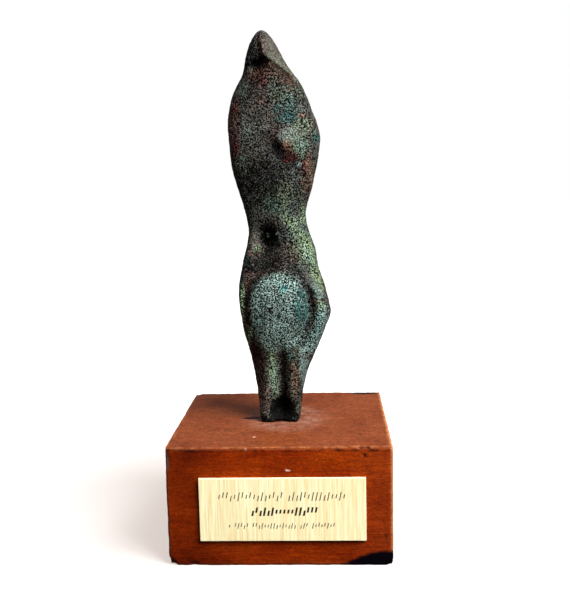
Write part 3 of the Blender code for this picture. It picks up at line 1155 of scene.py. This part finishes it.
@dataclass
class BrassPlaque:
    """The plate: sheared edges, a brushed face and three rows of shallow strokes that say nothing."""

    edge: float = 0.15
    edge_segments: int = 2
    engraving: float = 0.15
    cutter_rise: float = 1.0
    face_slack: float = 0.02
    floor_slack: float = 0.05
    seed: int = 12
    rows: tuple[StrokeRow, ...] = (
        StrokeRow(down=5.8, shift=-0.8, height=2.9, line=0.31, pitch=1.2, groups=(17, 15)),
        StrokeRow(down=10.6, shift=0.0, height=2.8, line=0.6, pitch=1.22, groups=(17,)),
        StrokeRow(down=15.2, shift=-0.8, height=1.9, line=0.27, pitch=0.92, groups=(1, 5, 15, 3, 8)),
    )

    def add_bar(self, row: StrokeRow, stroke: Stroke, x: float, z: float) -> Piece:
        """Add the leaning bar that cuts one stroke.

        Args:
            row: the stroke's row.
            stroke: the kind of stroke.
            x: the middle of the stroke.
            z: the middle of the row.

        Returns:
            The bar.
        """
        height, lift, lean = (share * row.height for share in stroke.value)
        middle = z + lift
        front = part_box("plaque")[0].y / MM
        half = Vector((row.line / 2.0, 0.0, height / 2.0))
        near = Vector((x, front - self.cutter_rise, middle)) - half
        far = Vector((x, front + self.engraving, middle)) + half
        bar = add_block("stroke", near * MM, far * MM)
        points = read_points(bar)
        points[:, 0] += (points[:, 2] / MM - middle) / height * lean * MM
        write_points(bar, points)
        return bar

    def cutter(self) -> Piece:
        """Make one object of all the strokes, to be cut out of the plate's face.

        Returns:
            The cutter.
        """
        low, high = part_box("plaque")
        pick = random.Random(self.seed)
        bars = []
        for row in self.rows:
            cells = sum(row.groups) + len(row.groups) - 1
            x = (low.x + high.x) / 2.0 / MM + row.shift - cells * row.pitch / 2.0
            z = high.z / MM - row.down
            for count in row.groups:
                for _ in range(count):
                    x += row.pitch
                    bars.append(self.add_bar(row, pick.choice(list(Stroke)), x, z))
                x += row.pitch
        make_active(bars[0])
        for bar in bars:
            bar.select_set(True)
        bpy.ops.object.join()
        return bpy.context.object

    def build(self) -> Piece:
        """Shape, engrave and dress the plate.

        Returns:
            The finished piece.
        """
        low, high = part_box("plaque")
        wood_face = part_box("plinth")[0].y
        piece = add_block("brass_plaque", low, Vector((high.x, wood_face, high.z)))
        open_mesh(piece)
        bpy.ops.mesh.bevel(offset=self.edge * MM, segments=self.edge_segments, affect="EDGES")
        close_mesh()
        cutter = self.cutter()
        apply_modifier(piece, "BOOLEAN", operation="DIFFERENCE", object=cutter, solver="EXACT")
        bpy.data.objects.remove(cutter, do_unlink=True)
        piece.data.materials.clear()
        piece.data.materials.append(BrushedBrass("brushed_brass").build())
        piece.data.materials.append(EngravingFill("engraving_fill").build())
        self.fill_strokes(piece)
        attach(piece, "root")
        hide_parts("plaque")
        return piece

    def fill_strokes(self, piece: Piece) -> None:
        """Give the walls and floors of the strokes the dark filling.

        Args:
            piece: the engraved plate.
        """
        low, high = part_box("plaque")
        margin = 2.0 * self.edge * MM
        for face in piece.data.polygons:
            place = face.center
            inside_x = low.x + margin < place.x < high.x - margin
            inside_z = low.z + margin < place.z < high.z - margin
            sunk = self.face_slack < (place.y - low.y) / MM < self.engraving + self.floor_slack
            face.material_index = int(inside_x and inside_z and sunk)


@dataclass
class Studio:
    """A pale floor and backdrop, one soft key light from the right, and the camera of the photograph.

    Its lengths are in metres and its angles in degrees.
    """

    floor_size: float = 6.0
    dome_radius: float = 3.5
    dome_segments: int = 48
    dome_rings: int = 24
    key_place: Triple = (0.34, -0.30, 0.50)
    key_target: Triple = (0.0, 0.0, 0.09)
    key_size: float = 0.40
    key_power: float = 11.45
    fill_below: float = 0.08
    fill_above: float = 0.72
    # the floor's glow is dimmer and warm near the block, painted warm light bounced off the wood; further
    # out it rises to white, painted light that hides the shadows there
    glow_near: str = "#ccc0b9"
    glow_far: str = "#ffffff"
    floor_scatter: float = 0.32
    glow_span: Span = (0.075, 0.17)
    camera_place: Triple = (0.01596, -0.3012, 0.12031)
    pitch: float = -8.328
    yaw: float = -2.766
    roll: float = -1.273
    focal_pixels: float = 903.7
    image_height: int = 614
    sensor_width: float = 36.0
    nearest: float = 0.01

    def pale_surface(self, name: str, near: str, scatter: float) -> bpy.types.Material:
        """A pale surface with a glow of its own, so that only a faint shadow shows and it ends in white.

        Args:
            name: the material's name.
            near: the colour that is left in full shadow close to the block.
            scatter: how much of the light that falls on it is added.

        Returns:
            The material.
        """
        material = bpy.data.materials.new(name)
        material.use_nodes = True
        tree = material.node_tree
        place = add_node(tree, "TexCoord", out="Object")
        distance = add_node(tree, "VectorMath", (place,), "Value", operation="LENGTH")
        away = add_node(tree, "MapRange", (distance, *self.glow_span), interpolation_type="SMOOTHSTEP")
        layers = {SHARE: away, UNDER: linear(near), OVER: linear(self.glow_far)}
        looks = {
            "Base Color": (scatter, scatter, scatter, 1.0),
            "Roughness": 1.0,
            "Specular IOR Level": 0.0,
            "Emission Color": add_node(tree, "Mix", layers, MIXED, data_type="RGBA"),
            "Emission Strength": 1.0,
        }
        set_inputs(tree.nodes["Principled BSDF"], looks)
        return material

    def build(self) -> None:
        """Add the floor, the backdrop, the lights and the camera."""
        deselect_all()
        bpy.ops.mesh.primitive_plane_add(size=self.floor_size)
        floor = bpy.context.object
        floor.name = "pale_floor"
        floor.data.materials.append(self.pale_surface("pale_floor", self.glow_near, self.floor_scatter))
        deselect_all()
        bpy.ops.mesh.primitive_uv_sphere_add(
            segments=self.dome_segments, ring_count=self.dome_rings, radius=self.dome_radius
        )
        dome = bpy.context.object
        dome.name = "pale_backdrop"
        dome.data.materials.append(self.pale_surface("pale_backdrop", self.glow_far, 0.0))
        dome.visible_shadow = False
        for surface in (floor, dome):
            surface.visible_diffuse = False
            surface.visible_glossy = False
        self.light_scene()
        self.place_camera()

    def light_scene(self) -> None:
        """Add the key light and the fill of the room, which comes mostly from its pale ceiling."""
        deselect_all()
        bpy.ops.object.light_add(type="AREA", location=self.key_place)
        key = bpy.context.object
        key.name = "key_light"
        key.data.size = self.key_size
        key.data.energy = self.key_power
        aim = Vector(self.key_target) - Vector(self.key_place)
        key.rotation_euler = aim.to_track_quat("-Z", "Y").to_euler()
        world = bpy.data.worlds.new("room")
        world.use_nodes = True
        tree = world.node_tree
        direction = add_node(tree, "TexCoord", out="Generated")
        height = add_node(tree, "SeparateXYZ", (direction,), "Z")
        fill = {"Value": height, "To Min": self.fill_below, "To Max": self.fill_above}
        strength = add_node(tree, "MapRange", fill)
        set_inputs(tree.nodes["Background"], {"Color": linear("#ffffff"), "Strength": strength})
        bpy.context.scene.world = world
        bpy.context.scene.view_settings.view_transform = "Standard"

    def place_camera(self) -> None:
        """Put the camera where the photograph was taken from."""
        data = bpy.data.cameras.new("camera")
        camera = bpy.data.objects.new("camera", data)
        bpy.context.scene.collection.objects.link(camera)
        data.sensor_fit = "AUTO"
        data.sensor_width = self.sensor_width
        data.lens = self.focal_pixels / self.image_height * self.sensor_width
        data.clip_start = self.nearest
        turn = Matrix.Rotation(math.radians(-self.yaw), 4, "Z")
        tilt = Matrix.Rotation(math.radians(90.0 + self.pitch), 4, "X")
        spin = Matrix.Rotation(math.radians(self.roll), 4, "Z")
        matrix = turn @ tilt @ spin
        matrix.translation = Vector(self.camera_place)
        camera.matrix_world = matrix
        bpy.context.scene.camera = camera


DRIFTS = {
    Patina.RED_BROWN: Drift(0.10, 0.30, 0.24),
    Patina.COPPER: Drift(0.0, 0.12, 0.18),
    Patina.VERDIGRIS: Drift(0.02, 0.24, 0.24),
    Patina.TEAL: Drift(0.02, 0.20, 0.22),
    Patina.SALT: Drift(0.0, 0.16, 0.20),
    Patina.SOOT_AND_SHADE: Drift(0.08, 0.12, 0.26),
}

DENTS = (
    # the hem of the hood, running out over the shoulder
    Dent(5.6, 113.2, 0.8, 3.4, 50.0, rise=0.45),
    Dent(5.0, 111.4, 0.9, 3.4, 50.0, rise=-0.35),
    # knocks on the chest and the ridge beside it
    Dent(-7.5, 99.0, 2.6, 2.0, 20.0, rise=-0.25),
    Dent(-3.0, 96.5, 2.2, 1.4, -30.0, rise=0.2),
    Dent(4.6, 100.3, 1.8, 1.5, 0.0, rise=-0.35),
    Dent(7.2, 85.4, 0.9, 0.9, 0.0, rise=0.35),
    Dent(10.4, 81.0, 1.0, 4.6, 8.0, rise=0.35),
    Dent(-9.0, 78.0, 2.0, 3.0, 10.0, rise=-0.25),
    # the waist and the flank
    Dent(-3.7, 62.3, 0.6, 0.6, 0.0, rise=0.4),
    Dent(-0.3, 63.3, 0.5, 0.5, 0.0, rise=0.4),
    Dent(-7.4, 58.1, 1.5, 0.9, 70.0, rise=0.35),
    Dent(8.0, 60.0, 1.5, 1.3, 0.0, rise=-0.3),
    Dent(11.0, 44.8, 0.9, 4.4, 52.0, rise=0.4),
    # the belly and its rim
    Dent(-5.6, 47.4, 1.0, 4.0, -48.0, rise=0.3),
    Dent(1.5, 45.7, 1.1, 1.0, 0.0, rise=-0.25),
    Dent(-1.5, 44.9, 0.8, 0.7, 0.0, rise=-0.35),
    Dent(9.9, 41.0, 1.2, 6.5, 8.0, rise=-0.15),
    # the legs
    Dent(-2.4, 16.0, 0.8, 9.0, 5.0, rise=0.25),
    Dent(4.4, 12.0, 1.2, 4.0, 0.0, rise=-0.25),
)

HATCHING = (
    Spot(-12.6, 39.0, 1.1, 8.0, -3.0),
    Spot(-10.8, 27.5, 1.1, 6.0, -16.0),
)

FRONT_PATCHES = (
    # head and hood
    # the soot here is partly painted shade on the left facet, which faces away from the light
    Patch(-8.0, 119.0, 2.8, 9.0, 10.0, patina=Patina.SOOT_AND_SHADE, strength=1.8),
    Patch(-7.6, 119.5, 2.0, 6.0, 10.0, patina=Patina.VERDIGRIS, strength=0.25),
    Patch(1.8, 118.6, 3.0, 10.5, 33.0, patina=Patina.RUBBED, strength=1.4),
    Patch(-4.3, 122.2, 0.9, 5.0, 14.0, patina=Patina.RED_BROWN, strength=1.1),
    Patch(-4.7, 122.6, 1.0, 4.8, 14.0, patina=Patina.SOOT_AND_SHADE, strength=0.8),
    Patch(-5.2, 113.4, 3.6, 3.4, 0.0, patina=Patina.RED_BROWN, strength=1.2),
    # these three patches paint the shadow that the beak casts below it
    Patch(-4.6, 114.4, 3.4, 2.6, 0.0, patina=Patina.SOOT_AND_SHADE, strength=0.6),
    Patch(-5.0, 117.8, 2.4, 1.5, 0.0, patina=Patina.PAINTED_SHADE, strength=1.2),
    Patch(-6.4, 114.6, 2.6, 3.0, 0.0, patina=Patina.SOOT_AND_SHADE, strength=0.5),
    Patch(1.0, 114.6, 1.8, 6.4, 53.0, patina=Patina.RED_BROWN, strength=2.6),
    Patch(1.0, 114.4, 2.0, 6.0, 53.0, patina=Patina.SOOT_AND_SHADE, strength=0.55),
    Patch(3.1, 114.8, 0.5, 5.6, 52.0, patina=Patina.COPPER, strength=0.15),
    # upper chest
    Patch(-13.2, 97.5, 2.1, 11.5, -2.0, patina=Patina.RED_BROWN, strength=0.85),
    Patch(-5.2, 106.5, 3.6, 3.6, 0.0, patina=Patina.RED_BROWN, strength=0.3),
    Patch(-4.6, 105.6, 0.7, 0.9, 0.0, patina=Patina.COPPER, strength=0.5),
    Patch(2.6, 102.0, 4.2, 3.4, 40.0, patina=Patina.TEAL, strength=0.6),
    Patch(4.9, 100.2, 1.8, 1.6, 0.0, patina=Patina.TEAL, strength=0.95),
    Patch(1.2, 103.8, 1.4, 0.9, 0.0, patina=Patina.AZURE, strength=0.12),
    Patch(6.6, 108.6, 1.8, 3.6, 28.0, patina=Patina.VERDIGRIS, strength=0.3),
    Patch(6.0, 106.0, 1.6, 1.8, 28.0, patina=Patina.AZURE, strength=0.2),
    Patch(9.0, 97.5, 3.0, 3.4, 20.0, patina=Patina.VERDIGRIS, strength=0.35),
    Patch(9.0, 100.9, 0.9, 0.9, 0.0, patina=Patina.RED_BROWN, strength=1.0),
    Patch(9.3, 101.0, 0.6, 0.6, 0.0, patina=Patina.COPPER, strength=0.4),
    Patch(4.7, 109.4, 0.6, 0.7, 0.0, patina=Patina.COPPER, strength=0.6),
    Patch(6.8, 108.0, 2.6, 4.0, 30.0, patina=Patina.SOOT_AND_SHADE, strength=0.55),
    # breast
    # painted shade on the shaded side of the breast
    Patch(0.4, 91.4, 1.7, 3.2, 8.0, patina=Patina.PAINTED_SHADE, strength=0.6),
    Patch(5.2, 94.6, 4.2, 3.2, 30.0, patina=Patina.RUBBED, strength=0.6),
    Patch(4.4, 95.2, 3.6, 2.4, 30.0, patina=Patina.SALT, strength=0.35),
    Patch(5.0, 94.6, 3.6, 2.6, 30.0, patina=Patina.VERDIGRIS, strength=0.25),
    Patch(8.0, 91.4, 2.6, 3.2, 10.0, patina=Patina.SALT, strength=0.4),
    Patch(7.8, 91.0, 2.6, 3.6, 10.0, patina=Patina.VERDIGRIS, strength=0.6),
    Patch(3.6, 90.8, 1.7, 2.6, 35.0, patina=Patina.COPPER, strength=0.75),
    Patch(4.3, 87.8, 2.8, 1.2, 20.0, patina=Patina.RED_BROWN, strength=1.4),
    Patch(7.2, 85.4, 0.9, 0.9, 0.0, patina=Patina.SALT, strength=0.7),
    Patch(12.8, 94.0, 1.1, 1.5, 0.0, patina=Patina.TEAL, strength=1.0),
    Patch(10.8, 83.8, 1.8, 6.4, 10.0, patina=Patina.COPPER, strength=0.5),
    Patch(9.2, 81.0, 1.4, 5.4, 10.0, patina=Patina.RED_BROWN, strength=0.8),
    # lower chest, with a few fine scratches
    # soot, and painted shade under the breast
    Patch(-5.5, 80.5, 7.2, 8.0, 0.0, patina=Patina.SOOT_AND_SHADE, strength=0.95),
    Patch(0.6, 75.5, 4.6, 5.6, 0.0, patina=Patina.VERDIGRIS, strength=0.35),
    Patch(-1.2, 72.8, 3.0, 3.0, 0.0, patina=Patina.TEAL, strength=0.5),
    Patch(8.3, 69.4, 1.3, 3.2, 0.0, patina=Patina.VERDIGRIS, strength=0.9),
    Patch(-11.6, 85.6, 0.22, 3.0, 48.0, patina=Patina.SALT, strength=1.0),
    Patch(-11.0, 87.6, 0.22, 2.0, 30.0, patina=Patina.SALT, strength=1.0),
    Patch(-10.2, 84.0, 0.22, 2.4, 62.0, patina=Patina.SALT, strength=1.0),
    # waist and flank
    # painted shade in the navel pit; the small patches after it leave pale specks in it
    Patch(-2.5, 62.0, 3.4, 4.8, 0.0, patina=Patina.SOOT_AND_SHADE, strength=1.1),
    Patch(-2.7, 62.4, 2.6, 3.8, 0.0, patina=Patina.PAINTED_SHADE, strength=1.2),
    Patch(-3.7, 62.3, 0.8, 0.8, 0.0, patina=Patina.SOOT_AND_SHADE, strength=0.0),
    Patch(-3.7, 62.3, 0.8, 0.8, 0.0, patina=Patina.PAINTED_SHADE, strength=0.2),
    Patch(-3.7, 62.3, 0.8, 0.8, 0.0, patina=Patina.VERDIGRIS, strength=1.0),
    Patch(-0.3, 63.4, 0.5, 0.6, 0.0, patina=Patina.SOOT_AND_SHADE, strength=0.0),
    Patch(-0.3, 63.4, 0.5, 0.6, 0.0, patina=Patina.PAINTED_SHADE, strength=0.0),
    Patch(-0.3, 63.4, 0.5, 0.6, 0.0, patina=Patina.SALT, strength=1.2),
    Patch(-1.6, 60.6, 0.4, 0.5, 0.0, patina=Patina.PAINTED_SHADE, strength=0.0),
    Patch(-1.6, 60.6, 0.4, 0.5, 0.0, patina=Patina.SALT, strength=1.2),
    Patch(-7.9, 62.5, 1.5, 4.4, 0.0, patina=Patina.RUBBED, strength=0.6),
    Patch(-7.4, 58.2, 1.5, 1.0, 0.0, patina=Patina.VERDIGRIS, strength=1.0),
    Patch(-10.8, 54.0, 1.2, 2.0, 0.0, patina=Patina.TEAL, strength=1.3),
    Patch(-5.2, 53.0, 6.4, 3.6, 0.0, patina=Patina.RED_BROWN, strength=1.2),
    # painted shade in the recess above the belly
    Patch(-5.2, 53.4, 6.4, 3.8, 0.0, patina=Patina.SOOT_AND_SHADE, strength=1.3),
    Patch(-5.2, 53.2, 5.6, 3.0, 0.0, patina=Patina.PAINTED_SHADE, strength=0.2),
    Patch(-10.3, 41.0, 1.1, 10.0, -4.0, patina=Patina.RED_BROWN, strength=1.2),
    Patch(4.2, 66.6, 1.8, 4.4, 38.0, patina=Patina.VERDIGRIS, strength=0.8),
    Patch(8.9, 58.6, 2.8, 6.2, 24.0, patina=Patina.VERDIGRIS, strength=1.0),
    Patch(9.6, 56.6, 1.6, 4.0, 24.0, patina=Patina.SALT, strength=0.35),
    Patch(12.4, 49.0, 1.9, 6.2, 14.0, patina=Patina.VERDIGRIS, strength=0.9),
    Patch(11.4, 46.6, 1.7, 5.0, 40.0, patina=Patina.RUBBED, strength=1.2),
    Patch(11.6, 46.6, 1.5, 4.4, 40.0, patina=Patina.SALT, strength=0.35),
    Patch(11.2, 47.2, 0.8, 3.4, 40.0, patina=Patina.COPPER, strength=0.3),
    Patch(3.8, 57.0, 2.6, 4.0, 20.0, patina=Patina.RED_BROWN, strength=0.6),
    Patch(4.6, 58.0, 2.4, 4.0, 20.0, patina=Patina.VERDIGRIS, strength=0.3),
    Patch(5.6, 51.0, 3.0, 2.0, -30.0, patina=Patina.SOOT_AND_SHADE, strength=0.5),
    Patch(4.0, 56.2, 2.6, 3.6, 20.0, patina=Patina.SOOT_AND_SHADE, strength=0.4),
    Patch(12.6, 43.2, 1.4, 3.0, 52.0, patina=Patina.RUBBED, strength=0.8),
    Patch(12.4, 43.6, 1.4, 3.2, 52.0, patina=Patina.SALT, strength=0.8),
    # belly and the grooves round it
    Patch(-0.2, 38.2, 10.6, 13.6, 0.0, soft=0.16, patina=Patina.SALT, strength=0.75),
    Rim(-0.2, 38.2, 9.0, 11.6, 0.0, patina=Patina.SALT, strength=0.85, middle=125.0, reach=55.0),
    Patch(-0.4, 29.0, 6.6, 4.6, 0.0, patina=Patina.SALT, strength=1.3),
    Patch(-2.6, 29.4, 4.6, 4.4, 0.0, patina=Patina.VERDIGRIS, strength=1.0),
    Patch(-7.0, 34.5, 1.8, 4.0, 0.0, patina=Patina.TEAL, strength=0.35),
    Patch(7.4, 39.0, 2.6, 7.0, 0.0, patina=Patina.TEAL, strength=0.85),
    Patch(1.5, 45.7, 1.3, 1.2, 0.0, patina=Patina.AZURE, strength=1.0),
    Patch(6.0, 40.4, 1.2, 1.2, 0.0, patina=Patina.AZURE, strength=0.5),
    Patch(-1.6, 44.9, 0.7, 0.5, 0.0, patina=Patina.COPPER, strength=0.8),
    # painted shade in the grooves along the right and left of the belly
    Rim(-0.2, 38.2, 11.6, 14.0, patina=Patina.SOOT_AND_SHADE, strength=0.6, middle=-12.0, reach=70.0),
    Rim(-0.2, 38.2, 10.6, 14.0, patina=Patina.SOOT_AND_SHADE, strength=0.8, thickness=0.1, middle=165.0),
    # hip
    Patch(13.2, 34.4, 2.6, 5.4, -14.0, patina=Patina.SALT, strength=1.0),
    Patch(10.4, 27.6, 3.4, 4.6, -30.0, patina=Patina.SALT, strength=1.3),
    Patch(13.6, 39.6, 1.4, 1.6, 0.0, patina=Patina.VERDIGRIS, strength=0.6),
    Patch(12.4, 35.6, 1.8, 3.2, -10.0, patina=Patina.VERDIGRIS, strength=0.7),
    Patch(13.0, 35.6, 1.2, 1.8, 0.0, patina=Patina.AZURE, strength=0.5),
    Patch(11.8, 29.8, 1.8, 3.0, -30.0, patina=Patina.TEAL, strength=0.3),
    Patch(12.6, 31.4, 1.1, 1.4, 0.0, patina=Patina.AZURE, strength=0.4),
    # legs and foot
    Patch(-2.8, 27.4, 2.2, 3.4, 0.0, patina=Patina.VERDIGRIS, strength=0.7),
    Patch(-7.2, 16.5, 2.6, 12.5, 8.0, patina=Patina.RED_BROWN, strength=1.1),
    Patch(-7.4, 21.0, 2.4, 9.0, 10.0, patina=Patina.SOOT_AND_SHADE, strength=0.55),
    Patch(-2.4, 16.5, 1.1, 11.0, 5.0, patina=Patina.VERDIGRIS, strength=1.4),
    Patch(-2.4, 16.5, 1.1, 11.0, 5.0, patina=Patina.TEAL, strength=0.25),
    Patch(-1.9, 14.0, 0.5, 9.0, 5.0, patina=Patina.SALT, strength=0.35),
    # painted shade in the furrow between the legs
    Patch(0.9, 13.0, 1.1, 11.5, 0.0, patina=Patina.SOOT_AND_SHADE, strength=0.9),
    Patch(4.3, 14.5, 1.8, 7.0, 0.0, patina=Patina.RED_BROWN, strength=0.3),
    Patch(4.6, 15.5, 1.4, 6.0, 0.0, patina=Patina.COPPER, strength=0.3),
    Patch(4.4, 14.8, 1.8, 7.0, 0.0, patina=Patina.VERDIGRIS, strength=0.15),
    Patch(3.6, 22.4, 1.0, 1.2, 0.0, patina=Patina.AZURE, strength=0.45),
    Patch(7.6, 17.0, 1.4, 9.0, 6.0, patina=Patina.RUBBED, strength=0.8),
    Patch(7.6, 17.0, 1.4, 9.0, 6.0, patina=Patina.SALT, strength=1.0),
    Patch(7.4, 4.4, 1.3, 3.0, 0.0, patina=Patina.COPPER, strength=0.7),
    # painted shade in the hollow of the foot and along its bottom, where it meets the plinth
    Patch(0.2, 3.4, 4.2, 5.0, 0.0, patina=Patina.PAINTED_SHADE, strength=3.0),
    Patch(-0.5, 1.0, 9.0, 1.6, 0.0, patina=Patina.PAINTED_SHADE, strength=1.2),
)

BLOCK_NICKS = (
    # worn corners
    Nick((-35.0, -35.0, 0.0), (2.6, 2.6, 2.6), 0.9),
    Nick((35.0, -35.0, 0.0), (2.0, 2.0, 2.0), 0.5),
    Nick((-35.0, -35.0, 34.0), (1.4, 1.4, 4.0), 0.45, WoodMark.DUST, 0.7),
    Nick((-35.0, -35.0, 38.0), (1.6, 1.6, 1.6), 0.5),
    Nick((35.0, -35.0, 38.0), (1.4, 1.4, 1.4), 0.4),
    Nick((-35.0, 35.0, 38.0), (2.0, 2.0, 2.0), 0.6),
    Nick((35.0, 35.0, 0.0), (2.4, 2.4, 2.4), 0.7),
    # a scorch on the back edge of the top
    Nick((28.8, 35.0, 38.4), (7.2, 4.4, 2.4), 0.1, WoodMark.BURN),
    # small chips that show bare wood
    Nick((2.8, -35.0, 30.7), (0.62, 0.6, 0.36), 0.12, WoodMark.CHIP, 0.9),
    Nick((-10.0, -35.0, 37.4), (0.36, 0.5, 0.36), 0.12, WoodMark.CHIP, 0.5),
    Nick((-8.2, -23.6, 38.0), (0.36, 0.5, 0.36), 0.08, WoodMark.CHIP, 0.4),
    # dark dots and cuts
    Nick((26.4, -35.0, 35.3), (0.55, 0.6, 0.55), 0.3, WoodMark.BRUISE_AND_SHADE),
    Nick((25.2, -34.8, 38.0), (0.8, 0.9, 0.8), 0.4, WoodMark.BRUISE_AND_SHADE),
    Nick((27.4, -34.8, 38.0), (0.7, 0.9, 0.7), 0.3, WoodMark.BRUISE_AND_SHADE),
    Nick((32.5, -35.0, 9.5), (0.4, 0.6, 1.2), 0.2, WoodMark.BRUISE_AND_SHADE, 0.8),
    Nick((26.2, -9.6, 38.0), (0.5, 0.6, 0.5), 0.2, WoodMark.BRUISE_AND_SHADE),
    Nick((-27.0, -35.0, 0.6), (1.6, 1.0, 0.9), 0.35, WoodMark.BRUISE_AND_SHADE, 0.6),
    # a painted shadow on the top, to the left of the figure's foot
    Nick((-10.4, -1.0, 38.0), (4.2, 1.7, 0.6), 0.1, WoodMark.BRUISE_AND_SHADE, 1.0),
)


def main() -> None:
    """Build the pieces in order and report each one."""
    logging.basicConfig(level=logging.INFO, format="%(name)s: %(message)s")
    figure = BronzeFigure(drifts=DRIFTS, dents=DENTS, hatching=HATCHING, patches=FRONT_PATCHES)
    for builder in (figure, HardwoodPlinth(nicks=BLOCK_NICKS), BrassPlaque()):
        piece = builder.build()
        triangles = sum(len(face.vertices) - 2 for face in piece.data.polygons)
        LOG.info("%s has %d triangles", piece.name, triangles)
    Studio().build()
    LOG.info("the studio is set")


if __name__ == "__main__":
    main()
